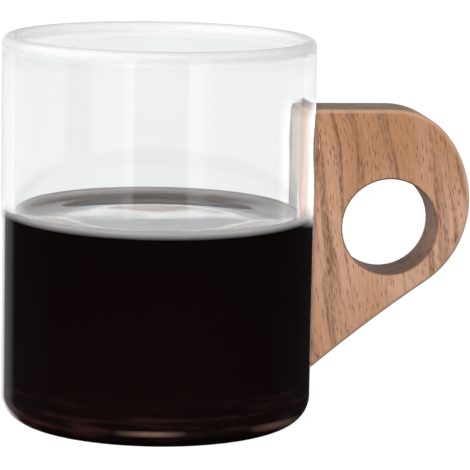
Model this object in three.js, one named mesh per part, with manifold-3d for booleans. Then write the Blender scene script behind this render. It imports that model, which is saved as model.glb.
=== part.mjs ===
// Straight-sided clear glass mug with a walnut handle bonded to its wall.
// Millimetres, +Z up. The origin is the centre of the base, and the handle points along +X.

import * as THREE from 'three';
import { mergeVertices, toCreasedNormals } from 'three/addons/utils/BufferGeometryUtils.js';
import Module from 'manifold-3d';

// Glass body
const GLASS_DIAMETER = 80;
const GLASS_HEIGHT = 99;
const GLASS_WALL = 3.5;
const GLASS_FLOOR = 3.5;
const HEEL_RADIUS = 7;
const FLOOR_FILLET = 5;

// Adhesive film between the glass and the handle
const FILM_THICKNESS = 0.4;
const FILM_SQUEEZE_OUT = 0.6; // how far it shows past each side face of the handle
const FILM_CLEARANCE = 0.1; // left free on both sides of the film

// Handle plate, with heights above the base and projections out from the glass wall
const HANDLE_THICKNESS = 15.2;
const HANDLE_PROJECTION = 40;
const HANDLE_TOP_HEIGHT = 81.2;
const HANDLE_TOE_HEIGHT = 14.6;
const HANDLE_EDGE_ROUNDING = 1.2;
const TOP_CORNER_RADIUS = 18.4;
const OUTER_CURVE_RADIUS = 28;
const LOWER_CORNER_RADIUS = 24.8;
const TOP_CORNER_END = 36.5; // degrees above level where the top corner meets the outer curve
const LOWER_EDGE_HOLLOW = 2.8; // degrees that the lower edge bends in from a straight line

// Finger hole through the plate
const HOLE_DIAMETER = 24.6;
const HOLE_PROJECTION = 19.2;
const HOLE_BELOW_TOP = 30.3;
const HOLE_EDGE_ROUNDING = 0.5;

// Fineness of the round surfaces
const TURNED_SEGMENTS = 72;
const HOLE_SEGMENTS = 48;
const PROFILE_DIVISIONS = 4;
const OUTLINE_DIVISIONS = 7;
const ROUNDING_STEPS = 3;
const CREASE_ANGLE = 30; // degrees past which an edge is drawn sharp

// How far a cutting tool reaches past what it cuts
const CUT_MARGIN = 5;

// Places that follow from the sizes above
const glassRadius = GLASS_DIAMETER / 2;
const filmInnerRadius = glassRadius + FILM_CLEARANCE;
const filmOuterRadius = filmInnerRadius + FILM_THICKNESS;
const seatRadius = filmOuterRadius + FILM_CLEARANCE;
const halfThickness = HANDLE_THICKNESS / 2;

const wasm = await Module();
wasm.setup();

/** Turns a closed three.js geometry into a solid that can be joined and cut. */
function toSolid(geometry) {
  geometry.deleteAttribute('normal');
  geometry.deleteAttribute('uv');
  const merged = mergeVertices(geometry);
  const mesh = new wasm.Mesh({
    numProp: 3,
    vertProperties: merged.attributes.position.array,
    triVerts: new Uint32Array(merged.index.array),
  });
  return new wasm.Manifold(mesh);
}

/** Turns a cut solid back into a three.js geometry with smooth rounds and sharp corners. */
function toGeometry(solid) {
  const mesh = solid.getMesh();
  const geometry = new THREE.BufferGeometry();
  geometry.setAttribute('position', new THREE.BufferAttribute(mesh.vertProperties, 3));
  geometry.setIndex(new THREE.BufferAttribute(mesh.triVerts, 1));
  return toCreasedNormals(geometry, THREE.MathUtils.degToRad(CREASE_ANGLE));
}

/** A named sub-part with its own finish. */
function subPart(name, geometry, finish) {
  const mesh = new THREE.Mesh(geometry, new THREE.MeshStandardMaterial(finish));
  mesh.name = name;
  return mesh;
}

/** The vessel, turned about +Z: flat base, round heel, straight wall, full-round lip, filleted floor. */
function glassBodyGeometry() {
  const innerRadius = glassRadius - GLASS_WALL;
  const lipRadius = GLASS_WALL / 2;
  const profile = new THREE.Path();
  profile.moveTo(0, 0);
  profile.lineTo(glassRadius - HEEL_RADIUS, 0);
  profile.absarc(glassRadius - HEEL_RADIUS, HEEL_RADIUS, HEEL_RADIUS, -Math.PI / 2, 0, false);
  profile.absarc(glassRadius - lipRadius, GLASS_HEIGHT - lipRadius, lipRadius, 0, Math.PI, false);
  profile.absarc(
    innerRadius - FLOOR_FILLET, GLASS_FLOOR + FLOOR_FILLET, FLOOR_FILLET, 0, -Math.PI / 2, true,
  );
  profile.lineTo(0, GLASS_FLOOR);
  const turned = new THREE.LatheGeometry(profile.getPoints(PROFILE_DIVISIONS), TURNED_SEGMENTS);
  return turned.rotateX(Math.PI / 2);
}

/** The point at an angle on a circle in the plane of the handle. */
function onCircle(centre, radius, angle) {
  return new THREE.Vector2(Math.cos(angle), Math.sin(angle)).multiplyScalar(radius).add(centre);
}

/** The side outline of the handle as X across and Z up, running past the seat into the glass. */
function handleOutline() {
  const topEnd = THREE.MathUtils.degToRad(TOP_CORNER_END);
  const outerCentre = new THREE.Vector2(
    glassRadius + HANDLE_PROJECTION - OUTER_CURVE_RADIUS,
    HANDLE_TOP_HEIGHT - TOP_CORNER_RADIUS
      - (OUTER_CURVE_RADIUS - TOP_CORNER_RADIUS) * Math.sin(topEnd),
  );
  const topCentre = onCircle(outerCentre, OUTER_CURVE_RADIUS - TOP_CORNER_RADIUS, topEnd);
  const lowerCentre = onCircle(outerCentre, OUTER_CURVE_RADIUS - LOWER_CORNER_RADIUS, 0);

  // The lower corner turns a little past the tangent to the toe, so the edge between them is hollow.
  const toe = new THREE.Vector2(seatRadius, HANDLE_TOE_HEIGHT);
  const toToe = toe.clone().sub(lowerCentre);
  const tangent = Math.atan2(toToe.y, toToe.x) + Math.acos(LOWER_CORNER_RADIUS / toToe.length());
  const lowerEnd = tangent - THREE.MathUtils.degToRad(LOWER_EDGE_HOLLOW);
  const edgeStart = onCircle(lowerCentre, LOWER_CORNER_RADIUS, lowerEnd);
  const bend = onCircle(edgeStart, edgeStart.distanceTo(toe) / 2, lowerEnd - Math.PI / 2);
  const rootRadius = seatRadius - CUT_MARGIN;
  const rootSlope = (bend.y - toe.y) / (bend.x - toe.x);

  const outline = new THREE.Shape();
  outline.moveTo(rootRadius, HANDLE_TOP_HEIGHT);
  outline.lineTo(topCentre.x, HANDLE_TOP_HEIGHT);
  outline.absarc(topCentre.x, topCentre.y, TOP_CORNER_RADIUS, Math.PI / 2, topEnd, true);
  outline.absarc(outerCentre.x, outerCentre.y, OUTER_CURVE_RADIUS, topEnd, 0, true);
  outline.absarc(lowerCentre.x, lowerCentre.y, LOWER_CORNER_RADIUS, 0, lowerEnd, true);
  outline.quadraticCurveTo(bend.x, bend.y, toe.x, toe.y);
  outline.lineTo(rootRadius, toe.y - rootSlope * CUT_MARGIN);
  outline.closePath();
  return outline;
}

/** The handle as a plate with rounded edges, before its seat and its hole are cut. */
function handlePlate() {
  const plate = new THREE.ExtrudeGeometry(handleOutline(), {
    depth: HANDLE_THICKNESS - 2 * HANDLE_EDGE_ROUNDING,
    curveSegments: OUTLINE_DIVISIONS,
    bevelThickness: HANDLE_EDGE_ROUNDING,
    bevelSize: HANDLE_EDGE_ROUNDING,
    bevelOffset: -HANDLE_EDGE_ROUNDING,
    bevelSegments: ROUNDING_STEPS,
  });
  plate.rotateX(Math.PI / 2);
  return toSolid(plate.translate(0, halfThickness - HANDLE_EDGE_ROUNDING, 0));
}

/** The round bar that hollows the seat to follow the glass. */
function seatCutter() {
  const length = HANDLE_TOP_HEIGHT + 2 * CUT_MARGIN;
  const bar = new THREE.CylinderGeometry(seatRadius, seatRadius, length, TURNED_SEGMENTS);
  return toSolid(bar.rotateX(Math.PI / 2).translate(0, 0, HANDLE_TOP_HEIGHT / 2));
}

/** The bar that bores the finger hole and rounds both of its mouths. */
function holeCutter() {
  const radius = HOLE_DIAMETER / 2;
  const mouthRadius = radius + HOLE_EDGE_ROUNDING;
  const mouthStart = halfThickness - HOLE_EDGE_ROUNDING;
  const end = halfThickness + CUT_MARGIN;
  const profile = new THREE.Path();
  profile.moveTo(0, -end);
  profile.lineTo(mouthRadius, -end);
  profile.absarc(mouthRadius, -mouthStart, HOLE_EDGE_ROUNDING, -Math.PI / 2, -Math.PI, true);
  profile.absarc(mouthRadius, mouthStart, HOLE_EDGE_ROUNDING, Math.PI, Math.PI / 2, true);
  profile.lineTo(mouthRadius, end);
  profile.lineTo(0, end);
  const bar = new THREE.LatheGeometry(profile.getPoints(ROUNDING_STEPS), HOLE_SEGMENTS);
  const centreX = glassRadius + HOLE_PROJECTION;
  return toSolid(bar.translate(centreX, 0, HANDLE_TOP_HEIGHT - HOLE_BELOW_TOP));
}

/** The film: a strip of a tube that lines the seat and shows past both side faces of the handle. */
function bondFilmGeometry() {
  const halfAngle = Math.asin((halfThickness + FILM_SQUEEZE_OUT) / filmInnerRadius);
  const section = new THREE.Shape();
  section.absarc(0, 0, filmOuterRadius, -halfAngle, halfAngle, false);
  section.absarc(0, 0, filmInnerRadius, halfAngle, -halfAngle, true);
  section.closePath();
  const bottom = HANDLE_TOE_HEIGHT + HANDLE_EDGE_ROUNDING;
  const film = new THREE.ExtrudeGeometry(section, {
    depth: HANDLE_TOP_HEIGHT - HANDLE_EDGE_ROUNDING - bottom,
    curveSegments: OUTLINE_DIVISIONS,
    bevelEnabled: false,
  });
  return film.translate(0, 0, bottom);
}

const handleSolid = handlePlate().subtract(seatCutter()).subtract(holeCutter());

const mug = new THREE.Group();
mug.name = 'glass_mug';
mug.add(subPart('glass_body', glassBodyGeometry(), {
  color: '#eef2f1', roughness: 0.03, metalness: 0, transparent: true, opacity: 0.3,
}));
mug.add(subPart('handle', toGeometry(handleSolid), {
  color: '#a87c5f', roughness: 0.55, metalness: 0,
}));
mug.add(subPart('bond_film', bondFilmGeometry(), {
  color: '#e6e6dc', roughness: 0.1, metalness: 0, transparent: true, opacity: 0.5,
}));

export default mug;
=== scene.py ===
"""Looks of a glass mug with a walnut handle bonded to its wall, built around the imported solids.

Lengths are in metres in the frame of the solids: the origin is the centre of the base, +Z is up and
the handle points along +X. Sizes are written in millimetres times MM.
"""

import logging
import math
from collections.abc import Mapping, Sequence
from dataclasses import dataclass
from enum import Enum
from functools import partial
from typing import Any

import bmesh
import bpy
from bmesh.types import BMesh, BMVert
from bpy.types import Material, Mesh, Node, NodeSocket, NodeTree, Object
from mathutils import Matrix, Vector


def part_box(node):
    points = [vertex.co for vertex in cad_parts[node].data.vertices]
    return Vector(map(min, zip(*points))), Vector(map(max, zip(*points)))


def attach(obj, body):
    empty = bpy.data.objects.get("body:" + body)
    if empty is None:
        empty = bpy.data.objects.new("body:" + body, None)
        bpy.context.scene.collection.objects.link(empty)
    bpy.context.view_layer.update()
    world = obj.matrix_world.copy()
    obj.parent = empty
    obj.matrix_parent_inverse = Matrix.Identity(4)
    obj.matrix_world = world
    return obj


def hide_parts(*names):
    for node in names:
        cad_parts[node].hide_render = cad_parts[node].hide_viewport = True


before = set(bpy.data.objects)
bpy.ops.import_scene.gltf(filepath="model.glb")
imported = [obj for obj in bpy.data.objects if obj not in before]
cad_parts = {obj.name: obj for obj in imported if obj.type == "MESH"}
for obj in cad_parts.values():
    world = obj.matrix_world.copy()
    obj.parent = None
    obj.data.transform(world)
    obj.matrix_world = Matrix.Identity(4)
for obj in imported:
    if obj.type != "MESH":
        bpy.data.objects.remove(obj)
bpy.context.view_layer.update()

MM = 0.001
WELD = 0.001 * MM
log = logging.getLogger("glass_mug")

# Kinds of node that recur, with their settings
ADD = ("ShaderNodeMath", {"operation": "ADD"})
ADD_CLAMPED = ("ShaderNodeMath", {"operation": "ADD", "use_clamp": True})
MULTIPLY = ("ShaderNodeMath", {"operation": "MULTIPLY"})
MULTIPLY_CLAMPED = ("ShaderNodeMath", {"operation": "MULTIPLY", "use_clamp": True})
MULTIPLY_ADD = ("ShaderNodeMath", {"operation": "MULTIPLY_ADD"})
DIVIDE = ("ShaderNodeMath", {"operation": "DIVIDE"})
DOT = ("ShaderNodeVectorMath", {"operation": "DOT_PRODUCT"})
MIX_COLOURS = ("ShaderNodeMix", {"data_type": "RGBA"})
TINT_COLOURS = ("ShaderNodeMix", {"data_type": "RGBA", "blend_type": "MULTIPLY"})
MIX_NUMBERS = ("ShaderNodeMix", {"data_type": "FLOAT"})
SOFT_RANGE = ("ShaderNodeMapRange", {"interpolation_type": "SMOOTHSTEP"})
RANGE = "ShaderNodeMapRange"
COLOUR_RAMP = "ShaderNodeValToRGB"
SPLIT = "ShaderNodeSeparateXYZ"
PRINCIPLED = "ShaderNodeBsdfPrincipled"
SURFACE = "ShaderNodeOutputMaterial"

Kind = str | tuple[str, Mapping[str, Any]]
Sockets = Mapping[str, NodeSocket]
Stops = tuple[tuple[float, str], ...]


class Solid(Enum):
    """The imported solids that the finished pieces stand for."""

    GLASS = "glass_body"
    HANDLE = "handle"
    BOND = "bond_film"


class Slot(Enum):
    """The material slots of the record."""

    GLASS = "clear_glass"
    WALNUT = "oiled_walnut"
    RESIN = "clear_adhesive"


class Side(Enum):
    """The two flat faces of the handle, by the sign of Y."""

    FRONT = -1
    BACK = 1


@dataclass(frozen=True)
class Ramp:
    """A range that a value is carried from and the range that it is carried to."""

    low: float
    high: float
    start: float = 0.0
    end: float = 1.0

    def of(self, value: Node | NodeSocket) -> dict[str, Any]:
        """Gives the inputs of a node that carries the value over."""
        ends = {"From Min": self.low, "From Max": self.high, "To Min": self.start, "To Max": self.end}
        return {"Value": value, **ends}


def linear(code: str) -> tuple[float, float, float, float]:
    """Turns an sRGB hex colour into linear red, green, blue and alpha.

    Args:
        code: colour such as "#B88A70".

    Returns:
        Linear channels with an alpha of 1.
    """
    channels = [int(code[i:i + 2], 16) / 255 for i in (1, 3, 5)]
    red, green, blue = (c / 12.92 if c <= 0.04045 else ((c + 0.055) / 1.055) ** 2.4 for c in channels)
    return red, green, blue, 1.0


def add_node(
    tree: NodeTree, kind: Kind, inputs: Mapping[str | int, Any] | None = None, stops: Stops = (),
) -> Node:
    """Adds a node with its settings, values and links.

    Args:
        tree: tree that gets the node.
        kind: Blender's type name of the node, alone or with properties of the node by name.
        inputs: by name or place among the inputs in use, a value, an output socket to link, or a node
            whose first output in use is linked.
        stops: places and hex colours along a colour ramp.

    Returns:
        The new node.
    """
    name, settings = (kind, {}) if isinstance(kind, str) else kind
    made = tree.nodes.new(name)
    for key, value in settings.items():
        setattr(made, key, value)
    usable = [socket for socket in made.inputs if socket.enabled]
    for key, value in (inputs or {}).items():
        socket = usable[key] if isinstance(key, int) else next(s for s in usable if s.name == key)
        if isinstance(value, Node):
            value = next(s for s in value.outputs if s.enabled)
        if isinstance(value, NodeSocket):
            tree.links.new(value, socket)
        else:
            socket.default_value = value
    if stops:
        elements = made.color_ramp.elements
        while len(elements) < len(stops):
            elements.new(1.0)
        for element, (place, code) in zip(elements, stops):
            element.position = place
            element.color = linear(code)
    return made


def new_material(name: str) -> tuple[Material, NodeTree, NodeSocket]:
    """Makes an empty node material.

    Args:
        name: name of the material.

    Returns:
        The material, its tree and the place on the piece, which its patterns follow.
    """
    made = bpy.data.materials.new(name)
    made.use_nodes = True
    made.node_tree.nodes.clear()
    return made, made.node_tree, add_node(made.node_tree, "ShaderNodeTexCoord").outputs["Object"]


def uneven(tree: NodeTree, coords: NodeSocket, length: float, height: float, detail: float = 1.0) -> Node:
    """Adds the bump of a surface that isn't quite even.

    Args:
        tree: tree that gets the nodes.
        coords: place on the piece.
        length: distance from one rise to the next.
        height: height of a rise.
        detail: octaves of finer noise.

    Returns:
        The bump.
    """
    noise = add_node(tree, "ShaderNodeTexNoise", {
        "Vector": coords, "Scale": 1 / length, "Detail": detail,
    })
    return add_node(tree, "ShaderNodeBump", {
        "Strength": 1.0, "Distance": height, "Height": noise.outputs["Fac"],
    })


def new_object(name: str, mesh: Mesh) -> Object:
    """Links a mesh into the scene as an object at the origin.

    Args:
        name: name of the object.
        mesh: its mesh.

    Returns:
        The object.
    """
    made = bpy.data.objects.new(name, mesh)
    bpy.context.scene.collection.objects.link(made)
    return made


def settle(name: str, shape: BMesh, material: Material) -> Object:
    """Turns a shape in the making into an object with one finish.

    Args:
        name: name of the object.
        shape: the shape, which is used up.
        material: its finish.

    Returns:
        The object.
    """
    mesh = bpy.data.meshes.new(name)
    shape.to_mesh(mesh)
    shape.free()
    mesh.materials.append(material)
    return new_object(name, mesh)


def bridge(shape: BMesh, rings: Sequence[Sequence[BMVert]]) -> None:
    """Joins closed rings of vertices with faces, each ring to the next.

    Args:
        shape: shape that gets the faces.
        rings: rings of the same number of vertices.
    """
    for near, far in zip(rings, rings[1:]):
        for i in range(len(near)):
            shape.faces.new((near[i - 1], near[i], far[i], far[i - 1]))


def compass(angle: float) -> Vector:
    """Gives the unit vector at an angle in a plane."""
    return Vector((math.cos(angle), math.sin(angle)))


def quarter_round(half: float, radius: float, steps: int) -> list[tuple[float, float, float]]:
    """Gives the height, inset and angle of points round a plate's edge, from its face to its side."""
    angles = [math.pi / 2 * step / steps for step in range(steps + 1)]
    return [(half - radius * (1 - math.cos(a)), radius * (1 - math.sin(a)), a) for a in angles]


def flatten(source: Object) -> None:
    """Turns the result of an object's modifiers into its plain mesh and removes the modifiers.

    Args:
        source: object with its modifiers.
    """
    evaluated = source.evaluated_get(bpy.context.evaluated_depsgraph_get())
    mesh = bpy.data.meshes.new_from_object(evaluated)
    mesh.name = source.name
    source.modifiers.clear()
    source.data = mesh


def run_tree(source: Object, tree: NodeTree, values: Mapping[str, Any]) -> None:
    """Runs a geometry tree on an object and keeps the result as its plain mesh.

    Args:
        source: object that the tree works on.
        tree: geometry tree.
        values: the tree's inputs by name.
    """
    modifier = source.modifiers.new(tree.name, "NODES")
    modifier.node_group = tree
    for item in tree.interface.items_tree:
        if item.item_type == "SOCKET" and item.in_out == "INPUT" and item.name in values:
            modifier[item.identifier] = values[item.name]
    flatten(source)
    source.data.materials.clear()
    source.data.materials.append(values["Material"])


def new_geometry_tree(name: str, inputs: Mapping[str, str]) -> NodeTree:
    """Makes an empty geometry tree.

    Args:
        name: name of the tree.
        inputs: short socket types by input name, after the geometry that comes in.

    Returns:
        A tree with its inputs and its output.
    """
    tree = bpy.data.node_groups.new(name, "GeometryNodeTree")
    for key, kind in {"Geometry": "Geometry", **inputs}.items():
        tree.interface.new_socket(key, in_out="INPUT", socket_type=f"NodeSocket{kind}")
    tree.interface.new_socket("Geometry", in_out="OUTPUT", socket_type="NodeSocketGeometry")
    return tree


def close_tree(tree: NodeTree, shape: Node, material: NodeSocket) -> NodeTree:
    """Ends a geometry tree with smooth shading, real meshes and the finish.

    Args:
        tree: tree that gets the nodes.
        shape: node that makes the mesh.
        material: the tree's input for the finish.

    Returns:
        The tree.
    """
    smooth = add_node(tree, "GeometryNodeSetShadeSmooth", {"Geometry": shape})
    real = add_node(tree, "GeometryNodeRealizeInstances", {"Geometry": smooth})
    dressed = add_node(tree, "GeometryNodeSetMaterial", {"Geometry": real, "Material": material})
    add_node(tree, "NodeGroupOutput", {"Geometry": dressed})
    return tree


def turning_tree() -> NodeTree:
    """Builds the tree that turns a profile about the Z axis into a closed body.

    The profile comes in as a chain of edges in the XZ plane. Each of its corners is rounded by the
    radius in the point attribute "rounding".

    Returns:
        The tree, with the inputs Segments, Arc Steps, Weld and Material.
    """
    tree = new_geometry_tree("turned_body", {
        "Segments": "Int", "Arc Steps": "Int", "Weld": "Float", "Material": "Material",
    })
    add = partial(add_node, tree)
    given = add("NodeGroupInput").outputs
    chain = add("GeometryNodeMeshToCurve", {"Mesh": given["Geometry"]})
    rounding = add("GeometryNodeInputNamedAttribute", {"Name": "rounding"})
    profile = add(("GeometryNodeFilletCurve", {"mode": "POLY"}), {
        "Curve": chain, "Count": given["Arc Steps"], "Radius": rounding, "Limit Radius": True,
    })
    curve_size = ("GeometryNodeAttributeDomainSize", {"component": "CURVE"})
    points = add(curve_size, {"Geometry": profile}).outputs["Point Count"]
    rings = add(ADD, {0: given["Segments"], 1: 1.0})
    sheet = add("GeometryNodeMeshGrid", {"Vertices X": rings, "Vertices Y": points})
    index = add("GeometryNodeInputIndex")
    step = add(("ShaderNodeMath", {"operation": "MODULO"}), {0: index, 1: points})
    passed = add(DIVIDE, {0: index, 1: points})
    ring = add(("ShaderNodeMath", {"operation": "FLOOR"}), {0: passed})
    share = add(DIVIDE, {0: ring, 1: given["Segments"]})
    angle = add(MULTIPLY, {0: share, 1: math.tau})
    place = add("GeometryNodeInputPosition")
    by_point = {"data_type": "FLOAT_VECTOR", "domain": "POINT"}
    sample = add(("GeometryNodeSampleIndex", by_point), {
        "Geometry": profile, "Value": place, "Index": step,
    })
    turned = add(("ShaderNodeVectorRotate", {"rotation_type": "Z_AXIS"}), {
        "Vector": sample, "Angle": angle,
    })
    body = add("GeometryNodeSetPosition", {"Geometry": sheet.outputs["Mesh"], "Position": turned})
    welded = add("GeometryNodeMergeByDistance", {"Geometry": body, "Distance": given["Weld"]})
    return close_tree(tree, welded, given["Material"])


@dataclass(frozen=True)
class Corner:
    """A corner of a turned profile."""

    radius: float
    height: float
    rounding: float = 0.0


def turn(
    name: str, corners: Sequence[Corner], material: Material, segments: int, arc_steps: int,
) -> Object:
    """Turns a profile about the Z axis into a closed body.

    Args:
        name: name of the piece.
        corners: the profile, from the axis at the bottom round to the axis at the top.
        material: finish of the whole body.
        segments: faces round the axis.
        arc_steps: points on each rounded corner.

    Returns:
        The piece as a plain mesh.
    """
    mesh = bpy.data.meshes.new(name)
    places = [(corner.radius, 0.0, corner.height) for corner in corners]
    mesh.from_pydata(places, [(i, i + 1) for i in range(len(places) - 1)], [])
    rounding = mesh.attributes.new("rounding", "FLOAT", "POINT")
    rounding.data.foreach_set("value", [corner.rounding for corner in corners])
    piece = new_object(name, mesh)
    run_tree(piece, turning_tree(), {
        "Segments": segments, "Arc Steps": arc_steps, "Weld": WELD, "Material": material,
    })
    return piece


@dataclass(frozen=True)
class BlownGlass:
    """Clear borosilicate glass, blown in a mould: hard reflections that sway a little, and a lip that
    turns milky white towards its top, a painted pale rim.
    """

    tint: str = "#F6F7F7"
    # The lip's colour and its clearness below paint a pale rim in place of the bright reflections of
    # clear glass
    lip_tint: str = "#FAFAFA"
    ior: float = 1.47
    lip_clearness: Ramp = Ramp(95.2 * MM, 97.4 * MM, 1.0, 0.22)
    wave_length: float = 22.0 * MM
    wave_height: float = 0.02 * MM

    def wall_material(self) -> Material:
        """Builds the clear glass of the wall and the base."""
        return self.material("borosilicate_glass_blown", self.tint)

    def lip_material(self) -> Material:
        """Builds the glass of the lip, which turns milky white towards its top: a painted pale rim in
        place of the bright reflections of clear glass.
        """
        return self.material("borosilicate_glass_lip_painted_pale", self.lip_tint, hazy=True)

    def material(self, name: str, tint: str, hazy: bool = False) -> Material:
        """Builds a glass material.

        Args:
            name: name of the material.
            tint: colour of the glass.
            hazy: whether the glass turns milky white towards the top of the lip, a painted pale rim.

        Returns:
            The material.
        """
        made, tree, coords = new_material(name)
        shader = add_node(tree, PRINCIPLED, {
            "Base Color": linear(tint), "Roughness": 0.0, "IOR": self.ior, "Transmission Weight": 1.0,
            "Normal": uneven(tree, coords, self.wave_length, self.wave_height),
        })
        if hazy:
            # Milky white towards the top of the lip: a painted pale rim in place of the bright
            # reflections of clear glass
            place = add_node(tree, SPLIT, {"Vector": coords}).outputs
            clearness = add_node(tree, SOFT_RANGE, self.lip_clearness.of(place["Z"]))
            tree.links.new(clearness.outputs["Result"], shader.inputs["Transmission Weight"])
        add_node(tree, SURFACE, {"Surface": shader})
        return made


@dataclass(frozen=True)
class GrainNoise:
    """Noise drawn out along the grain, with its sizes in millimetres."""

    width: float
    length: float
    detail: float


@dataclass(frozen=True)
class OiledWalnut:
    """Light walnut, sanded and oiled: open pores along a leaning grain, satin sheen, dark end grain
    greyed as painted sheen, rounded edges paler with wear and painted highlight, and painted shade in the
    finger hole.
    """

    lean: float = math.radians(10.0)
    light: str = "#DDAE92"
    middle: str = "#C48F6B"
    streak: str = "#8E6751"
    pore: str = "#5E4234"
    # End grain: darker, and greyed as painted sheen; inside the finger hole darker still as painted shade
    end_grain_and_sheen: str = "#BAD4EE"
    bore_end_grain_and_shade: str = "#ABADAE"
    # Painted shade that darkens the walls of the finger hole
    bore_painted_shade: str = "#CAC7C8"
    # Rounded edges, paler partly from wear and partly as painted highlight
    worn_edge_and_highlight: str = "#E2B99C"
    wear_and_highlight: float = 0.6
    noise_roughness: float = 0.6

    # The board's slow change of tone
    tone_noise: GrainNoise = GrainNoise(9.0, 70.0, 1.0)
    tone: Ramp = Ramp(0.3, 0.7, -0.4, 0.4)
    brown_above: Ramp = Ramp(40.0 * MM, 72.0 * MM)
    pale_outside: Ramp = Ramp(58.0 * MM, 76.0 * MM, 0.0, -0.5)
    brown_below: Ramp = Ramp(26.0 * MM, 42.0 * MM, 0.45, 0.0)

    # Dark bands, closer together low down by the glass
    sway_noise: GrainNoise = GrainNoise(25.0, 45.0, 1.0)
    sway: Ramp = Ramp(0.0, 1.0, -4.0, 4.0)
    band_noise: GrainNoise = GrainNoise(2.3, 60.0, 2.5)
    band: Ramp = Ramp(0.5, 0.68)
    fleck_noise: GrainNoise = GrainNoise(0.45, 2.2, 1.0)
    fleck: Ramp = Ramp(0.35, 0.65, 0.4, 1.1)
    toe_across: Ramp = Ramp(40.0 * MM, 52.0 * MM)
    toe_stops: Stops = ((0.08, "#000000"), (0.22, "#FFFFFF"), (0.45, "#FFFFFF"), (0.9, "#000000"))
    toe_gain: Ramp = Ramp(40.0 * MM, 54.0 * MM, 0.08, 0.0)

    # Fibres, pores and end grain
    fibre_noise: GrainNoise = GrainNoise(0.22, 4.0, 2.0)
    fibre: Ramp = Ramp(0.25, 0.75, 0.8, 1.18)
    pore_spacing: float = 0.36
    pore_length: float = 3.0
    pore_edge: Ramp = Ramp(0.14, 0.36, 1.0, 0.0)
    pore_rarity: Ramp = Ramp(0.0, 1.0, 0.6, 0.15)
    pore_depth: float = 0.8
    square_cut: Ramp = Ramp(0.35, 0.95)

    # Sheen and relief
    roughness: float = 0.6
    pore_roughness: float = 0.3
    ior: float = 1.48
    specular: float = 0.15
    relief: float = 0.06 * MM
    relief_strength: float = 0.6
    pore_relief: float = -2.0

    def material(self) -> Material:
        """Builds the walnut material.

        Returns:
            The material, which reads the attributes "edge" and "bore" of its piece.
        """
        made, tree, coords = new_material("walnut_sanded_oiled")
        add = partial(add_node, tree)
        place = add(SPLIT, {"Vector": coords}).outputs
        grain = self.grain_coordinates(tree, coords)
        fibres = self.stretched_noise(tree, grain, self.fibre_noise)
        gathered = add(ADD, {
            0: self.stretched_noise(tree, grain, self.band_noise), 1: self.toe_share(tree, place),
        })
        band = add(RANGE, self.band.of(gathered))
        flecks = self.stretched_noise(tree, grain, self.fleck_noise)
        broken = add(RANGE, self.fleck.of(flecks))
        streaks = add(MULTIPLY_CLAMPED, {0: band, 1: broken})
        pores = self.pores(tree, grain, band)

        tone = self.board_tone(tree, grain, place)
        ground = add(MIX_COLOURS, {"Factor": tone, "A": linear(self.light), "B": linear(self.middle)})
        colour = add(MIX_COLOURS, {"Factor": streaks, "A": ground, "B": linear(self.streak)})
        shade = add(RANGE, self.fibre.of(fibres))
        fibrous = add(("ShaderNodeVectorMath", {"operation": "SCALE"}), {
            "Vector": colour, "Scale": shade,
        })
        # The finger hole, whose walls get painted shade
        bore = add(("ShaderNodeAttribute", {"attribute_name": "bore"})).outputs["Fac"]
        end = add(MIX_COLOURS, {
            "Factor": bore, "A": linear(self.end_grain_and_sheen), "B": linear(self.bore_end_grain_and_shade),
        })
        # Paler rounded edges: partly wear, partly painted highlight
        edge = add(("ShaderNodeAttribute", {"attribute_name": "edge"})).outputs["Fac"]
        wear_and_highlight = add(MULTIPLY, {0: edge, 1: self.wear_and_highlight})
        finished = fibrous
        # Layered on: pores, end grain greyed as painted sheen, painted shade in the finger hole, and
        # rounded edges paler with wear and painted highlight
        for kind, share, layer in (
            (MIX_COLOURS, pores, linear(self.pore)),
            (TINT_COLOURS, self.end_share(tree), end),
            (TINT_COLOURS, bore, linear(self.bore_painted_shade)),
            (MIX_COLOURS, wear_and_highlight, linear(self.worn_edge_and_highlight)),
        ):
            finished = add(kind, {"Factor": share, "A": finished, "B": layer})
        rough = add(MULTIPLY_ADD, {0: pores, 1: self.pore_roughness, 2: self.roughness})
        height = add(MULTIPLY_ADD, {0: pores, 1: self.pore_relief, 2: fibres})
        bump = add("ShaderNodeBump", {
            "Strength": self.relief_strength, "Distance": self.relief, "Height": height,
        })
        shader = add(PRINCIPLED, {
            "Base Color": finished, "Roughness": rough, "IOR": self.ior,
            "Specular IOR Level": self.specular, "Normal": bump,
        })
        add(SURFACE, {"Surface": shader})
        return made

    def grain_coordinates(self, tree: NodeTree, coords: NodeSocket) -> Node:
        """Gives coordinates in millimetres with Z along the swaying grain.

        Args:
            tree: tree that gets the nodes.
            coords: place on the piece.

        Returns:
            A node whose value is the coordinates.
        """
        straight = add_node(tree, "ShaderNodeMapping", {
            "Vector": coords, "Rotation": (0.0, self.lean, 0.0), "Scale": (1 / MM, 1 / MM, 1 / MM),
        })
        sway = self.stretched_noise(tree, straight, self.sway_noise)
        shift = add_node(tree, RANGE, self.sway.of(sway))
        offset = add_node(tree, "ShaderNodeCombineXYZ", {"X": shift})
        return add_node(tree, ("ShaderNodeVectorMath", {"operation": "ADD"}), {0: straight, 1: offset})

    def board_tone(self, tree: NodeTree, grain: Node, place: Sockets) -> Node:
        """Gives the tone of the board: browner near the top by the glass and low down, paler outside.

        Args:
            tree: tree that gets the nodes.
            grain: grain coordinates.
            place: X, Y and Z on the piece.

        Returns:
            A node whose value is 1 in the brownest wood.
        """
        add = partial(add_node, tree)
        raised = add(RANGE, self.brown_above.of(place["Z"]))
        outside = add(RANGE, self.pale_outside.of(place["X"]))
        sunk = add(RANGE, self.brown_below.of(place["Z"]))
        broad = self.stretched_noise(tree, grain, self.tone_noise)
        spread = add(RANGE, self.tone.of(broad))
        upper = add(ADD, {0: raised, 1: outside})
        base = add(ADD, {0: upper, 1: sunk})
        return add(ADD_CLAMPED, {0: base, 1: spread})

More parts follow.
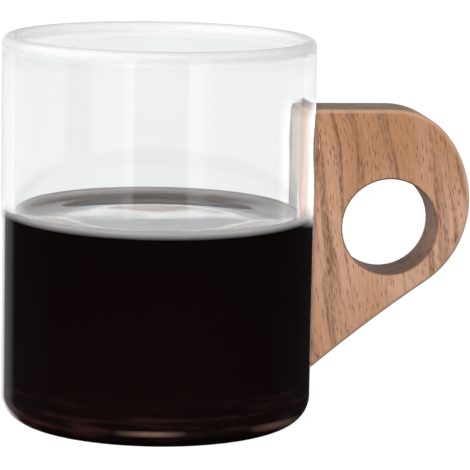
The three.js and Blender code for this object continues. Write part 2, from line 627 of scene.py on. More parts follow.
    def toe_share(self, tree: NodeTree, place: Sockets) -> Node:
        """Gives how much closer the dark bands stand low down by the glass.

        Args:
            tree: tree that gets the nodes.
            place: X, Y and Z on the piece.

        Returns:
            A node whose value is added to the noise of the bands.
        """
        across = add_node(tree, RANGE, self.toe_across.of(place["X"]))
        beside = add_node(tree, COLOUR_RAMP, {"Fac": across}, stops=self.toe_stops)
        below = add_node(tree, RANGE, self.toe_gain.of(place["Z"]))
        return add_node(tree, MULTIPLY, {0: beside, 1: below})

    def stretched_noise(self, tree: NodeTree, grain: Node, noise: GrainNoise) -> NodeSocket:
        """Adds noise that is drawn out along the grain.

        Args:
            tree: tree that gets the nodes.
            grain: grain coordinates.
            noise: size and detail of the noise.

        Returns:
            The noise value.
        """
        drawn = add_node(tree, "ShaderNodeMapping", {
            "Vector": grain, "Scale": (1 / noise.width, 1 / noise.width, 1 / noise.length),
        })
        return add_node(tree, "ShaderNodeTexNoise", {
            "Vector": drawn, "Scale": 1.0, "Detail": noise.detail, "Roughness": self.noise_roughness,
        }).outputs["Fac"]

    def pores(self, tree: NodeTree, grain: Node, band: Node) -> Node:
        """Gives the short dark dashes of cut pores, drawn about twice as wide as real ones to show.

        Args:
            tree: tree that gets the nodes.
            grain: grain coordinates.
            band: share of dark wood, which has more pores.

        Returns:
            A node whose value is highest inside a pore.
        """
        add = partial(add_node, tree)
        drawn = add("ShaderNodeMapping", {
            "Vector": grain,
            "Scale": (1 / self.pore_spacing, 1 / self.pore_spacing, 1 / self.pore_length),
        })
        cells = add("ShaderNodeTexVoronoi", {"Vector": drawn, "Scale": 1.0}).outputs
        dash = add(RANGE, self.pore_edge.of(cells["Distance"]))
        luck = add("ShaderNodeSeparateColor", {"Color": cells["Color"]}).outputs["Red"]
        needed = add(RANGE, self.pore_rarity.of(band))
        kept = add(("ShaderNodeMath", {"operation": "GREATER_THAN"}), {0: luck, 1: needed})
        depth = add(MULTIPLY, {0: dash, 1: kept})
        return add(MULTIPLY, {0: depth, 1: self.pore_depth})

    def end_share(self, tree: NodeTree) -> Node:
        """Gives how square the surface cuts the grain.

        Args:
            tree: tree that gets the nodes.

        Returns:
            A node whose value is 1 on end grain and 0 where the surface runs along the grain.
        """
        axis = (-math.sin(self.lean), 0.0, math.cos(self.lean))
        facing = add_node(tree, "ShaderNodeNewGeometry").outputs["Normal"]
        along = add_node(tree, DOT, {0: facing, 1: axis})
        size = add_node(tree, ("ShaderNodeMath", {"operation": "ABSOLUTE"}), {0: along.outputs["Value"]})
        return add_node(tree, RANGE, self.square_cut.of(size))


@dataclass(frozen=True)
class CuredResin:
    """Clear adhesive, cured as it was squeezed out: glassy, faintly warm and uneven."""

    tint: str = "#F6F4EC"
    seat_tint: str = "#FFEADC"
    seat_clearness: float = 0.05
    roughness: float = 0.04
    ior: float = 1.5
    lump_size: float = 3.0 * MM
    lump_height: float = 0.08 * MM

    def bead_material(self) -> Material:
        """Builds the clear resin that was squeezed out."""
        return self.material("clear_adhesive_cured", self.tint, 1.0)

    def film_material(self) -> Material:
        """Builds the resin on the seat, which takes up the tone of the bare wood behind it."""
        return self.material("clear_adhesive_on_wood", self.seat_tint, self.seat_clearness)

    def material(self, name: str, tint: str, clearness: float) -> Material:
        """Builds a resin material.

        Args:
            name: name of the material.
            tint: colour of the resin.
            clearness: share of light that passes.

        Returns:
            The material.
        """
        made, tree, coords = new_material(name)
        shader = add_node(tree, PRINCIPLED, {
            "Base Color": linear(tint), "Roughness": self.roughness, "IOR": self.ior,
            "Transmission Weight": clearness,
            "Normal": uneven(tree, coords, self.lump_size, self.lump_height),
        })
        add_node(tree, SURFACE, {"Surface": shader})
        return made


@dataclass(frozen=True)
class BlackCoffee:
    """Filter coffee: near black, with a mirror top, painted light where its edge and the film on the
    glass thin out, and a painted red-brown glow and painted amber glints near the bottom.
    """

    deep: str = "#160D0C"
    glow: str = "#4C2A2B"
    amber_glint: str = "#8C6D5D"
    film: str = "#F4F0F1"
    ior: float = 1.34
    ripple_length: float = 14.0 * MM
    ripple_height: float = 0.006 * MM

    # The edge of the surface, which thins as it climbs the glass: painted light that would pass through
    # the thin coffee, paler on the right
    edge_painted_light_stops: Stops = (
        (0.0, "#160D0C"), (0.08, "#553820"), (0.32, "#6E5B4F"), (0.65, "#BDB8B5"), (0.95, "#ECEAE9"),
    )
    side_painted_light: str = "#CFCBC9"
    side_depth: Ramp = Ramp(8.0 * MM, 30.0 * MM, 1.0, 0.0)
    side_climb: Ramp = Ramp(0.02, 0.25)
    side_across: Ramp = Ramp(-20.0 * MM, 20.0 * MM)

    # Painted red-brown glow and painted amber glints near the bottom, where light would come through the
    # coffee and the base
    glow_height: Ramp = Ramp(0.0, 14.0 * MM, 1.0, 0.0)
    glow_size: float = 16.0 * MM
    glow_flatness: float = 9.0
    glow_detail: float = 2.0
    glow_share: Ramp = Ramp(0.51, 0.72)
    amber_glint_height: Ramp = Ramp(3.7 * MM, 5.0 * MM)
    amber_glint_line: Stops = ((0.0, "#000000"), (0.35, "#FFFFFF"), (0.65, "#FFFFFF"), (1.0, "#000000"))
    amber_glint_across: Ramp = Ramp(-40.0 * MM, 40.0 * MM)
    amber_glint_stops: Stops = (
        (0.33, "#000000"), (0.42, "#FFFFFF"), (0.47, "#FFFFFF"), (0.55, "#3A3A3A"),
        (0.74, "#000000"), (0.81, "#C0C0C0"), (0.87, "#C0C0C0"), (0.92, "#000000"),
    )

    # The film that climbs the glass above the drink, painted pale for the light seen through it
    film_lean: float = 0.02
    film_start: float = 0.7 * MM
    film_end: float = 2.2 * MM
    film_roughness: float = 0.6

    def top_material(self) -> Material:
        """Builds the free surface, which mirrors what lies behind the mug, with painted light where its
        edge thins.

        Returns:
            The material, which reads the attribute "edge" of its piece.
        """
        made, tree, coords = new_material("coffee_surface")
        add = partial(add_node, tree)
        place = add(SPLIT, {"Vector": coords}).outputs
        edge = add(("ShaderNodeAttribute", {"attribute_name": "edge"})).outputs["Fac"]
        # Painted light through the thinning edge, paler on the right
        colour = add(COLOUR_RAMP, {"Fac": edge}, stops=self.edge_painted_light_stops)
        aside = add(SOFT_RANGE, self.side_depth.of(place["Y"]))
        climb = add(RANGE, self.side_climb.of(edge))
        right = add(RANGE, self.side_across.of(place["X"]))
        inward = add(MULTIPLY, {0: climb, 1: right})
        share = add(MULTIPLY, {0: aside, 1: inward})
        paled = add(MIX_COLOURS, {"Factor": share, "A": colour, "B": linear(self.side_painted_light)})
        shader = add(PRINCIPLED, {
            "Base Color": paled, "Roughness": 0.0, "IOR": self.ior,
            "Normal": uneven(tree, coords, self.ripple_length, self.ripple_height, detail=0.0),
        })
        add(SURFACE, {"Surface": shader})
        return made

    def side_material(self, level: float) -> Material:
        """Builds the coffee that wets the glass, which has no reflection of its own there, with a painted
        glow, painted glints and a pale film painted for the light seen through it.

        Args:
            level: height of the drink, above which only a thin film climbs the glass.

        Returns:
            The material.
        """
        made, tree, coords = new_material("coffee_against_glass")
        add = partial(add_node, tree)
        place = add(SPLIT, {"Vector": coords}).outputs
        # Painted red-brown glow of light through the coffee near the bottom
        low = add(RANGE, self.glow_height.of(place["Z"]))
        flat = add("ShaderNodeMapping", {"Vector": coords, "Scale": (1.0, 1.0, self.glow_flatness)})
        patches = add("ShaderNodeTexNoise", {
            "Vector": flat, "Scale": 1 / self.glow_size, "Detail": self.glow_detail,
        })
        spots = add(RANGE, self.glow_share.of(patches.outputs["Fac"]))
        share = add(MULTIPLY, {0: low, 1: spots})
        dark = add(MIX_COLOURS, {"Factor": share, "A": linear(self.deep), "B": linear(self.glow)})
        # Painted amber glints near the heel
        heel = add(RANGE, self.amber_glint_height.of(place["Z"]))
        line = add(COLOUR_RAMP, {"Fac": heel}, stops=self.amber_glint_line)
        across = add(RANGE, self.amber_glint_across.of(place["X"]))
        lit = add(COLOUR_RAMP, {"Fac": across}, stops=self.amber_glint_stops)
        warm = add(MULTIPLY, {0: line, 1: lit})
        colour = add(MIX_COLOURS, {"Factor": warm, "A": dark, "B": linear(self.amber_glint)})
        # Pale film painted for the light seen through the thin coffee on the glass
        lowered = add(MULTIPLY_ADD, {0: place["Y"], 1: -self.film_lean, 2: place["Z"]})
        climb = Ramp(level + self.film_start, level + self.film_end)
        rim = add(RANGE, climb.of(lowered))
        thin = add(MIX_COLOURS, {"Factor": rim, "A": colour, "B": linear(self.film)})
        shader = add(PRINCIPLED, {
            "Base Color": thin, "Roughness": self.film_roughness, "Specular IOR Level": 0.0,
        })
        add(SURFACE, {"Surface": shader})
        return made


@dataclass(frozen=True)
class PaperSweep:
    """Studio paper: matt, and lifted to white where it is seen directly or through glass."""

    colour: str = "#8C8C8C"
    lift: float = 0.94
    lift_through: Ramp = Ramp(0.8, 0.88, 0.93, 0.83)

    def material(self) -> Material:
        """Builds the paper material.

        Returns:
            The material, which still takes the object's shadow.
        """
        made, tree, coords = new_material("white_paper_matt")
        add = partial(add_node, tree)
        rays = add("ShaderNodeLightPath").outputs
        away = add(("ShaderNodeVectorMath", {"operation": "LENGTH"}), {0: coords})
        paled = add(RANGE, self.lift_through.of(away.outputs["Value"]))
        behind = add(MULTIPLY, {0: rays["Is Transmission Ray"], 1: paled})
        strength = add(MULTIPLY_ADD, {0: rays["Is Camera Ray"], 1: self.lift, 2: behind})
        paper = add("ShaderNodeBsdfDiffuse", {"Color": linear(self.colour)})
        glow = add("ShaderNodeEmission", {"Strength": strength})
        both = add("ShaderNodeAddShader", {0: paper, 1: glow})
        add(SURFACE, {"Surface": both})
        return made


@dataclass
class GlassVessel:
    """The turned glass: flat base, round heel, straight wall and full-round lip."""

    radius: float
    height: float
    wall: float = 3.5 * MM
    floor: float = 3.5 * MM
    heel_radius: float = 7.0 * MM
    floor_fillet: float = 5.0 * MM
    support: float = 0.8 * MM
    lip_line: float = 95.0 * MM
    segments: int = 192
    arc_steps: int = 20

    @property
    def inner_radius(self) -> float:
        """Radius of the inside of the wall."""
        return self.radius - self.wall

    def corners(self) -> list[Corner]:
        """Lists the profile, with a plain corner beside each round one to keep straight runs flat.

        Returns:
            Corners from the middle of the base, up the outside and down the inside.
        """
        lip = self.wall / 2
        heel_end = self.heel_radius + self.support
        lip_start = self.height - lip - self.support
        fillet_end = self.floor_fillet + self.support
        return [
            Corner(0.0, 0.0),
            Corner(self.radius - heel_end, 0.0),
            Corner(self.radius, 0.0, self.heel_radius),
            Corner(self.radius, heel_end),
            Corner(self.radius, self.lip_line),
            Corner(self.radius, lip_start),
            Corner(self.radius, self.height, lip),
            Corner(self.inner_radius, self.height, lip),
            Corner(self.inner_radius, lip_start),
            Corner(self.inner_radius, self.lip_line),
            Corner(self.inner_radius, self.floor + fillet_end),
            Corner(self.inner_radius, self.floor, self.floor_fillet),
            Corner(self.inner_radius - fillet_end, self.floor),
            Corner(0.0, self.floor),
        ]

    def build(self) -> list[Object]:
        """Turns the vessel and dresses it in glass.

        Returns:
            The vessel.
        """
        finish = BlownGlass()
        wall = finish.wall_material()
        glass = turn("glass_vessel", self.corners(), wall, self.segments, self.arc_steps)
        glass.data.materials.append(finish.lip_material())
        for face in glass.data.polygons:
            if face.center.z > self.lip_line:
                face.material_index = 1
        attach(glass, "root")
        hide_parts(Solid.GLASS.value)
        return [glass]


@dataclass
class CoffeeFill:
    """The drink in the vessel, wetting the glass with a curved edge."""

    vessel: GlassVessel
    level: float = 52.6 * MM
    capillary_length: float = 2.5 * MM
    edge_slope: float = math.radians(57.0)
    least_slope: float = math.radians(0.05)
    bite: float = 0.1 * MM
    top_facing: float = 0.1
    meniscus_steps: int = 20
    segments: int = 192
    arc_steps: int = 12

    @property
    def wall(self) -> float:
        """Radius of the drink, a hair's breadth into the glass, as a wetted surface is."""
        return self.vessel.inner_radius + self.bite

    def meniscus(self) -> list[Corner]:
        """Gives the curve of a liquid surface that climbs a wall, from the wall inwards.

        Returns:
            Points worked out from the slope of the surface at each of them.
        """
        points = []
        for step in range(self.meniscus_steps + 1):
            easing = (self.least_slope / self.edge_slope) ** (step / self.meniscus_steps)
            slope = self.edge_slope * easing
            rise = 2 * self.capillary_length * math.sin(slope / 2)
            inward = self.capillary_length * (
                math.log(math.tan(self.edge_slope / 4) / math.tan(slope / 4))
                + 2 * (math.cos(self.edge_slope / 2) - math.cos(slope / 2))
            )
            points.append(Corner(self.wall - inward, self.level + rise))
        return points

    def corners(self) -> list[Corner]:
        """Lists the profile.

        Returns:
            Corners from the middle of the bottom round to the middle of the surface.
        """
        bottom = self.vessel.floor - self.bite
        return [
            Corner(0.0, bottom),
            Corner(self.wall, bottom, self.vessel.floor_fillet),
            *self.meniscus(),
            Corner(0.0, self.level),
        ]

    def build(self) -> list[Object]:
        """Turns the drink, then gives its free surface a finish of its own.

        Returns:
            The drink.
        """
        finish = BlackCoffee()
        side = finish.side_material(self.level)
        drink = turn("coffee", self.corners(), side, self.segments, self.arc_steps)
        mesh = drink.data
        mesh.materials.append(finish.top_material())
        for face in mesh.polygons:
            if face.center.z > self.level and face.normal.z > self.top_facing:
                face.material_index = 1
        rise = max(corner.height for corner in self.meniscus()) - self.level
        edge = mesh.attributes.new("edge", "FLOAT", "POINT")
        edge.data.foreach_set("value", [
            min(1.0, max(0.0, (vertex.co.z - self.level) / rise)) for vertex in mesh.vertices
        ])
        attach(drink, "root")
        return [drink]


@dataclass
class WalnutHandle:
    """The flat plate with rounded edges, a hollowed seat and a round finger hole."""

    glass_radius: float
    reach: float
    thickness: float
    top: float
    seat_radius: float = 40.12 * MM
    toe: float = 14.6 * MM
    edge_rounding: float = 1.2 * MM
    top_corner: float = 18.4 * MM
    outer_curve: float = 28.0 * MM
    lower_corner: float = 24.8 * MM
    top_corner_end: float = math.radians(36.5)
    lower_edge_hollow: float = math.radians(2.8)
    hole_radius: float = 12.3 * MM
    hole_projection: float = 19.2 * MM
    hole_below_top: float = 30.3 * MM
    hole_rounding: float = 0.5 * MM
    sharp_angle: float = math.radians(35.0)
    arc_points: int = 28
    edge_points: int = 18
    rounding_points: int = 6
    seat_points: int = 6
    hole_points: int = 120

    def outline(self) -> list[tuple[Vector, Vector]]:
        """Gives the side outline in the XZ plane, from the top corner round to just before the toe.

        Returns:
            Pairs of a point and the outward direction there.
        """
        drop = (self.outer_curve - self.top_corner) * math.sin(self.top_corner_end)
        outer = Vector((self.reach - self.outer_curve, self.top - self.top_corner - drop))
        lower = outer + Vector((self.outer_curve - self.lower_corner, 0.0))
        upper = outer + (self.outer_curve - self.top_corner) * compass(self.top_corner_end)
        toe = Vector((self.seat_radius, self.toe))
        end = self.lower_end(toe - lower)
        path: list[tuple[Vector, Vector]] = []
        for centre, radius, first, last in (
            (upper, self.top_corner, math.pi / 2, self.top_corner_end),
            (outer, self.outer_curve, self.top_corner_end, 0.0),
            (lower, self.lower_corner, 0.0, end),
        ):
            for step in range(self.arc_points):
                outward = compass(first + (last - first) * step / self.arc_points)
                path.append((centre + radius * outward, outward))
        start = lower + self.lower_corner * compass(end)
        bend = start + (start - toe).length / 2 * compass(end - math.pi / 2)
        for step in range(self.edge_points):
            share = step / self.edge_points
            point = (1 - share) ** 2 * start + 2 * share * (1 - share) * bend + share ** 2 * toe
            along = ((1 - share) * (bend - start) + share * (toe - bend)).normalized()
            path.append((point, Vector((-along.y, along.x))))
        return path

    def lower_end(self, away: Vector) -> float:
        """Gives the angle at which the lower corner ends, a little past the tangent to the toe."""
        tangent = math.atan2(away.y, away.x) + math.acos(self.lower_corner / away.length)
        return tangent - self.lower_edge_hollow

    def stations(self) -> list[tuple[float, float, float]]:
        """Lists the cross-sections through the thickness.

        Returns:
            For each, its Y, how far its outline is drawn in and how much it is part of the rounding.
        """
        half = self.thickness / 2
        edge = quarter_round(half, self.edge_rounding, self.rounding_points)
        rounded = [(y, inset, math.sin(2 * angle)) for y, inset, angle in edge]
        straight = half - self.edge_rounding
        shares = [2 * step / self.seat_points - 1 for step in range(1, self.seat_points)]
        middle = [(straight * share, 0.0, 0.0) for share in shares]
        front = [(-y, inset, share) for y, inset, share in rounded]
        return front + middle + rounded[::-1]

    def section(self, y: float, inset: float, outline: list[tuple[Vector, Vector]]) -> list[Vector]:
        """Gives one cross-section from the top of the seat to its bottom.

        Args:
            y: place through the thickness.
            inset: how far the outline is drawn in.
            outline: points and outward directions of the side outline.

        Returns:
            Points of the section in order.
        """
        seat_x = math.sqrt(self.seat_radius ** 2 - y ** 2)
        points = [point - inset * outward for point, outward in outline]
        outward = outline[-1][1]
        slope = -outward.x / outward.y
        end = points[-1]
        toe = Vector((seat_x, end.y + slope * (seat_x - end.x)))
        top = Vector((seat_x, self.top - inset))
        return [Vector((p.x, y, p.y)) for p in (top, *points, toe)]

    def build(self) -> list[Object]:
        """Builds the plate from its cross-sections round the finger hole and dresses it in walnut.

        Returns:
            The plate, which hard reflections look past so that the drink stays dark.
        """
        shape = bmesh.new()
        edge = shape.verts.layers.float.new("edge")
        shape.verts.layers.float.new("bore")
        outline = self.outline()
        sections = []
        for y, inset, share in self.stations():
            ring = [shape.verts.new(point) for point in self.section(y, inset, outline)]
            for vertex in ring:
                vertex[edge] = share
            sections.append(ring)
        bridge(shape, sections)
        bores = self.bore(shape)
        for ring, mouth in ((sections[0], bores[0]), (sections[-1], bores[-1])):
            rim = [(loop[i], loop[i - 1]) for loop in (ring, mouth) for i in range(len(loop))]
            edges = [shape.edges.get(pair) or shape.edges.new(pair) for pair in rim]
            bmesh.ops.triangle_fill(shape, use_beauty=True, edges=edges)
        bmesh.ops.recalc_face_normals(shape, faces=shape.faces)
        for face in shape.faces:
            face.smooth = True
        for line in shape.edges:
            line.smooth = line.calc_face_angle(0.0) < self.sharp_angle
        plate = settle("walnut_handle", shape, OiledWalnut().material())
        weights = plate.modifiers.new("weights", "WEIGHTED_NORMAL")
        weights.keep_sharp = True
        flatten(plate)
        plate.visible_glossy = False
        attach(plate, "root")
        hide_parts(Solid.HANDLE.value)
        return [plate]

    def bore(self, shape: BMesh) -> list[list[BMVert]]:
        """Adds the wall of the finger hole with its rounded mouths.

        Args:
            shape: shape that gets the wall.

        Returns:
            Rings of vertices from the front mouth to the back mouth.
        """
        inside = shape.verts.layers.float["bore"]
        x = self.glass_radius + self.hole_projection
        z = self.top - self.hole_below_top
        rounded = quarter_round(self.thickness / 2, self.hole_rounding, self.rounding_points)
        mouth = [(y, self.hole_radius + widening) for y, widening, _ in rounded]
        turns = [compass(math.tau * step / self.hole_points) for step in range(self.hole_points)]
        rings = []
        for y, radius in [(-y, radius) for y, radius in mouth] + mouth[::-1]:
            spots = [radius * spot for spot in turns]
            rings.append([shape.verts.new((x + spot.x, y, z + spot.y)) for spot in spots])
        for ring in rings[1:-1]:
            for vertex in ring:
                vertex[inside] = 1.0
        bridge(shape, rings)
        return rings


@dataclass
class ResinBond:
    """The adhesive: a film that lines the seat and a bead along each side of the seam."""

    handle: WalnutHandle
    inner_radius: float = 40.02 * MM
    outer_radius: float = 40.1 * MM
    squeeze_out: float = 0.6 * MM
    bottom: float = 15.8 * MM
    top: float = 80.0 * MM
    bead_radius: float = 0.1 * MM
    bulge_radius: float = 1.1 * MM
    bulge_centre: float = 0.87
    bulge_length: float = 0.1
    bead_points: int = 160
    bead_sides: int = 20
    arc_points: int = 24
    film_rows: int = 40

    def film(self, material: Material) -> Object:
        """Builds the film as a closed strip of a tube.

        Args:
            material: finish of the film.

        Returns:
            The film.
        """
        half = math.asin((self.handle.thickness / 2 + self.squeeze_out) / self.inner_radius)
        angles = [half * (2 * i / self.arc_points - 1) for i in range(self.arc_points + 1)]
        spots = [self.outer_radius * compass(angle) for angle in angles]
        spots += [self.inner_radius * compass(angle) for angle in reversed(angles)]
        shape = bmesh.new()
        loops = []
        for row in range(self.film_rows + 1):
            z = self.bottom + (self.top - self.bottom) * row / self.film_rows
            loops.append([shape.verts.new((*spot, z)) for spot in spots])
        bridge(shape, loops)
        shape.faces.new(loops[0])
        shape.faces.new(loops[-1])
        bmesh.ops.recalc_face_normals(shape, faces=shape.faces)
        return settle("resin_film", shape, material)

    def bead_tree(self) -> NodeTree:
        """Builds the tree that sweeps a bead of changing width along a straight seam.

        Returns:
            The tree, with the inputs Start, End, Thin Radius, Bulge Radius, Bulge Centre, Bulge Length,
            Points, Sides and Material.
        """
        tree = new_geometry_tree("seam_bead", {
            "Start": "Vector", "End": "Vector", "Thin Radius": "Float", "Bulge Radius": "Float",
            "Bulge Centre": "Float", "Bulge Length": "Float", "Points": "Int", "Sides": "Int",
            "Material": "Material",
        })
        add = partial(add_node, tree)
        given = add("NodeGroupInput").outputs
        seam = add("GeometryNodeCurvePrimitiveLine", {"Start": given["Start"], "End": given["End"]})
        path = add("GeometryNodeResampleCurve", {"Curve": seam, "Count": given["Points"]})
        share = add("GeometryNodeSplineParameter").outputs["Factor"]
        away = add(("ShaderNodeMath", {"operation": "SUBTRACT"}), {0: share, 1: given["Bulge Centre"]})
        steps = add(DIVIDE, {0: away, 1: given["Bulge Length"]})
        square = add(MULTIPLY, {0: steps, 1: steps})
        drop = add(MULTIPLY, {0: square, 1: -1.0})
        swell = add(("ShaderNodeMath", {"operation": "EXPONENT"}), {0: drop})
        width = add(MIX_NUMBERS, {
            "Factor": swell, "A": given["Thin Radius"], "B": given["Bulge Radius"],
        })
        ring = add("GeometryNodeCurvePrimitiveCircle", {"Resolution": given["Sides"], "Radius": 1.0})
        bead = add("GeometryNodeCurveToMesh", {
            "Curve": path, "Profile Curve": ring, "Scale": width, "Fill Caps": True,
        })
        return close_tree(tree, bead, given["Material"])

    def bead(self, side: Side, tree: NodeTree, material: Material) -> Object:
        """Sweeps the bead along one side of the seam.

        Args:
            side: face of the handle that the bead runs beside.
            tree: sweeping tree.
            material: finish of the bead.

        Returns:
            The bead as a plain mesh.
        """
        y = side.value * self.handle.thickness / 2
        x = math.sqrt(self.outer_radius ** 2 - y ** 2)
        name = f"resin_bead_{side.name.lower()}"
        piece = new_object(name, bpy.data.meshes.new(name))
        run_tree(piece, tree, {
            "Start": (x, y, self.bottom), "End": (x, y, self.top),
            "Thin Radius": self.bead_radius, "Bulge Radius": self.bulge_radius,
            "Bulge Centre": self.bulge_centre, "Bulge Length": self.bulge_length,
            "Points": self.bead_points, "Sides": self.bead_sides, "Material": material,
        })
        return piece

    def build(self) -> list[Object]:
        """Builds the film and both beads.

        Returns:
            The film, the front bead and the back bead.
        """
        finish = CuredResin()
        clear = finish.bead_material()
        tree = self.bead_tree()
        film = self.film(finish.film_material())
        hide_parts(Solid.BOND.value)
        pieces = [film, *(self.bead(side, tree, clear) for side in Side)]
        for piece in pieces:
            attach(piece, "root")
        return pieces


@dataclass(frozen=True)
class FillLight:
    """A broad, low lamp that evens the light on one side of the mug."""

    name: str
    heading: float
    width: float
    power: float


@dataclass
class Studio:
    """A paper sweep, a soft front light, three fills and a white surround with a dark room in front."""

    pieces: list[Object]
    floor_size: float = 4.0
    key_size: float = 0.45
    key_distance: float = 1.3
    key_azimuth: float = math.radians(-14.0)
    key_elevation: float = math.radians(25.0)
    key_power: float = 12.0
    key_target: tuple[float, float, float] = (0.02, 0.0, 0.05)
    fills: tuple[FillLight, ...] = (
        FillLight("fill_behind", math.radians(90.0), 2.0, 10.0),
        FillLight("fill_left", math.radians(175.0), 1.0, 7.0),
        FillLight("fill_right", math.radians(15.0), 0.6, 6.0),
    )
    fill_distance: float = 1.2
    fill_height: float = 0.5
    fill_lift: float = 0.2
    fill_target: tuple[float, float, float] = (0.0, 0.0, 0.05)
    ambient: float = 0.32

    # What shows through the glass: brighter overhead, with soft bands low behind the mug
    backdrop_glow: float = 4.0
    steep_stops: Stops = (
        (0.28, "#E1E1E1"), (0.42, "#A1A1A1"), (0.6, "#969696"), (0.75, "#E6E6E6"), (0.85, "#FFFFFF"),
    )
    backdrop: Ramp = Ramp(0.134, 0.164)
    backdrop_stops: Stops = (
        (0.0, "#BEBEC0"), (0.55, "#C2BFBE"), (0.667, "#CDC3BD"), (0.693, "#B4ABA4"),
        (0.71, "#C4C0BC"), (0.723, "#E6E4E2"), (0.737, "#EAE9E8"), (0.763, "#CCCCCC"),
        (0.783, "#B4B4B5"), (0.867, "#BEBEC1"), (1.0, "#9C9C9C"),
    )

    # What hard reflections see: a dark table, a pale room above it and two strip lights in front
    left: tuple[float, float, float] = (-0.99, 0.14, 0.0)
    behind: Ramp = Ramp(0.0, 0.2)
    ceiling: float = 1.0
    ceiling_rise: Ramp = Ramp(0.0, 0.15)
    glow: float = 2.5
    across: Ramp = Ramp(-1.0, 1.0)
    strip_stops: Stops = (
        (0.18, "#AAAAAA"), (0.23, "#FFFFFF"), (0.3, "#FFFFFF"), (0.32, "#272727"),
        (0.63, "#272727"), (0.65, "#FFFFFF"), (0.69, "#FFFFFF"), (0.72, "#BBBBBB"),
    )
    table_edge: Ramp = Ramp(-0.159, -0.152)
    table_near: Ramp = Ramp(-0.5, -0.3)
    table_stops: Stops = (
        (0.0, "#161616"), (0.06, "#FFFFFF"), (0.49, "#FFFFFF"), (0.53, "#7C7C7C"),
        (0.7, "#6C6C6C"), (0.76, "#454545"), (0.8, "#161616"),
    )
    veil: Ramp = Ramp(-0.3, 0.0, 4.0, 1.2)
    veil_top: Ramp = Ramp(-0.126, -0.119)

    def build(self) -> None:
        """Builds the floor, the lamps and the world."""
        self.floor()
        self.key()
        self.fill()
        self.world()

    def floor(self) -> None:
        """Lays the paper, which hard reflections look past so that the drink stays dark."""
        half = self.floor_size / 2
        corners = [(-half, -half, 0), (half, -half, 0), (half, half, 0), (-half, half, 0)]
        mesh = bpy.data.meshes.new("studio_floor")
        mesh.from_pydata(corners, [], [(0, 1, 2, 3)])
        mesh.materials.append(PaperSweep().material())
        paper = new_object("studio_floor", mesh)
        paper.visible_glossy = False

    def lamp(
        self, name: str, place: Vector, target: Vector, size: tuple[float, float], power: float,
    ) -> Object:
        """Hangs a soft lamp that neither the camera nor a hard reflection sees.

        Args:
            name: name of the lamp.
            place: centre of the lamp.
            target: point that it faces.
            size: width and height.
            power: power in watts.

        Returns:
            The lamp.
        """
        data = bpy.data.lights.new(name, "AREA")
        data.shape = "RECTANGLE"
        data.size, data.size_y = size
        data.energy = power
        made = bpy.data.objects.new(name, data)
        made.location = place
        made.rotation_mode = "QUATERNION"
        made.rotation_quaternion = (target - place).to_track_quat("-Z", "Y")
        made.visible_camera = False
        made.visible_glossy = False
        bpy.context.scene.collection.objects.link(made)
        return made

    def key(self) -> None:
        """Hangs the front light above the camera, a little to its left."""
        level = math.cos(self.key_elevation)
        place = self.key_distance * Vector((
            math.sin(self.key_azimuth) * level,
            -math.cos(self.key_azimuth) * level,
            math.sin(self.key_elevation),
        ))
        size = (self.key_size, self.key_size)
        self.lamp("key_light", place, Vector(self.key_target), size, self.key_power)

    def fill(self) -> None:
        """Hangs the low lights round the back and the sides, which light the mug and not the paper."""
        lit = bpy.data.collections.new("lit_by_fills")
        for piece in self.pieces:
            lit.objects.link(piece)
        raised = Vector((0.0, 0.0, self.fill_lift))
        for light in self.fills:
            place = self.fill_distance * compass(light.heading).to_3d() + raised
            size = (light.width, self.fill_height)
            made = self.lamp(light.name, place, Vector(self.fill_target), size, light.power)
            made.visible_transmission = False
            made.light_linking.receiver_collection = lit

    def world(self) -> None:
        """Surrounds the mug with white for the camera and for all that is seen through glass."""
        world = bpy.data.worlds.new("studio_surround")
        world.use_nodes = True
        tree = world.node_tree
        add = partial(add_node, tree)
        tree.nodes.clear()
        rays = add("ShaderNodeLightPath").outputs
        heading = add("ShaderNodeTexCoord").outputs["Generated"]
        split = add(SPLIT, {"Vector": heading}).outputs
        bounced = add(MIX_NUMBERS, {
            "Factor": rays["Is Glossy Ray"], "A": self.ambient, "B": self.room(tree, heading, split),
        })
        strength = add(MIX_NUMBERS, {"Factor": rays["Is Camera Ray"], "A": bounced, "B": 1.0})
        light = add("ShaderNodeBackground", {"Strength": strength})
        steep = add(COLOUR_RAMP, {"Fac": split["Z"]}, stops=self.steep_stops)
        shine = add(MULTIPLY, {0: steep, 1: self.backdrop_glow})
        rise = add(RANGE, self.backdrop.of(split["Z"]))
        backdrop = add(COLOUR_RAMP, {"Fac": rise}, stops=self.backdrop_stops)
        through = add("ShaderNodeBackground", {"Color": backdrop, "Strength": shine})
        surround = add("ShaderNodeMixShader", {0: rays["Is Transmission Ray"], 1: light, 2: through})
        add("ShaderNodeOutputWorld", {"Surface": surround})
        bpy.context.scene.world = world

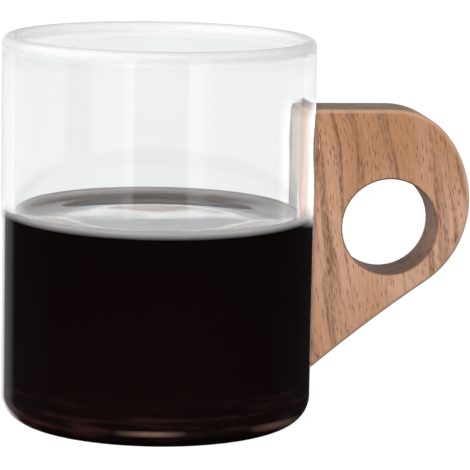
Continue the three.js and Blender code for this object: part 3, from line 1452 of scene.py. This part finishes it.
    def room(self, tree: NodeTree, heading: NodeSocket, split: Sockets) -> Node:
        """Gives what hard reflections see.

        Args:
            tree: tree of the world.
            heading: direction of the ray.
            split: the direction's X, Y and Z.

        Returns:
            A node whose value is the brightness.
        """
        add = partial(add_node, tree)
        leftward = add(DOT, {0: heading, 1: self.left})
        side = leftward.outputs["Value"]
        behind = add(RANGE, self.behind.of(split["Y"]))
        edge = add(COLOUR_RAMP, {"Fac": side}, stops=self.table_stops)
        near = add(RANGE, self.table_near.of(split["Z"]))
        faded = add(MULTIPLY, {0: near, 1: behind})
        table = add(MULTIPLY, {0: edge, 1: faded})
        across = add(RANGE, self.across.of(side))
        strips = add(COLOUR_RAMP, {"Fac": across}, stops=self.strip_stops)
        front = add(MULTIPLY, {0: strips, 1: self.glow})
        right = add(RANGE, self.veil.of(side))
        lowered = add(RANGE, self.veil_top.of(split["Z"]))
        back = add(MIX_NUMBERS, {"Factor": lowered, "A": right, "B": self.veil.end})
        pale = add(MIX_NUMBERS, {"Factor": behind, "A": front, "B": back})
        low = add(MULTIPLY, {0: table, 1: self.glow})
        raised = add(RANGE, self.table_edge.of(split["Z"]))
        wall = add(MIX_NUMBERS, {"Factor": raised, "A": low, "B": pale})
        above = add(RANGE, self.ceiling_rise.of(split["Z"]))
        return add(MIX_NUMBERS, {"Factor": above, "A": wall, "B": self.ceiling})


@dataclass
class PhotoCamera:
    """The camera, fitted to the rim, base, drink and handle of the photographed mug."""

    place: tuple[float, float, float] = (-96.8 * MM, -807.1 * MM, 181.4 * MM)
    heading: float = math.radians(8.25)
    tilt: float = math.radians(9.31)
    roll: float = math.radians(1.14)
    lens: float = 246.04
    sensor: float = 36.0
    clip: tuple[float, float] = (0.05, 20.0)

    def build(self) -> None:
        """Sets up the camera from its heading right of +Y, its tilt down and its roll."""
        level = math.cos(self.tilt)
        forward = Vector((
            math.sin(self.heading) * level,
            math.cos(self.heading) * level,
            -math.sin(self.tilt),
        ))
        right = Vector((math.cos(self.heading), -math.sin(self.heading), 0.0))
        up = right.cross(forward)
        across = right * math.cos(self.roll) + up * math.sin(self.roll)
        upright = up * math.cos(self.roll) - right * math.sin(self.roll)
        data = bpy.data.cameras.new("photo_camera")
        data.lens = self.lens
        data.sensor_width = self.sensor
        data.clip_start, data.clip_end = self.clip
        made = bpy.data.objects.new("photo_camera", data)
        turned = Matrix((across, upright, -forward)).transposed().to_4x4()
        made.matrix_world = Matrix.Translation(self.place) @ turned
        bpy.context.scene.collection.objects.link(made)
        bpy.context.scene.camera = made


def main() -> None:
    """Builds the mug, its drink, the studio and the camera."""
    logging.basicConfig(level=logging.INFO, format="%(name)s: %(message)s")
    glass_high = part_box(Solid.GLASS.value)[1]
    handle_low, handle_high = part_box(Solid.HANDLE.value)
    vessel = GlassVessel(radius=glass_high.x, height=glass_high.z)
    handle = WalnutHandle(
        glass_radius=glass_high.x,
        reach=handle_high.x,
        thickness=handle_high.y - handle_low.y,
        top=handle_high.z,
    )
    pieces: list[Object] = []
    for part in (vessel, CoffeeFill(vessel), handle, ResinBond(handle)):
        for piece in part.build():
            log.info("%s: %s with %d faces", type(part).__name__, piece.name, len(piece.data.polygons))
            pieces.append(piece)
    Studio(pieces).build()
    PhotoCamera().build()
    bpy.context.scene.view_settings.view_transform = "Standard"


if __name__ == "__main__":
    main()
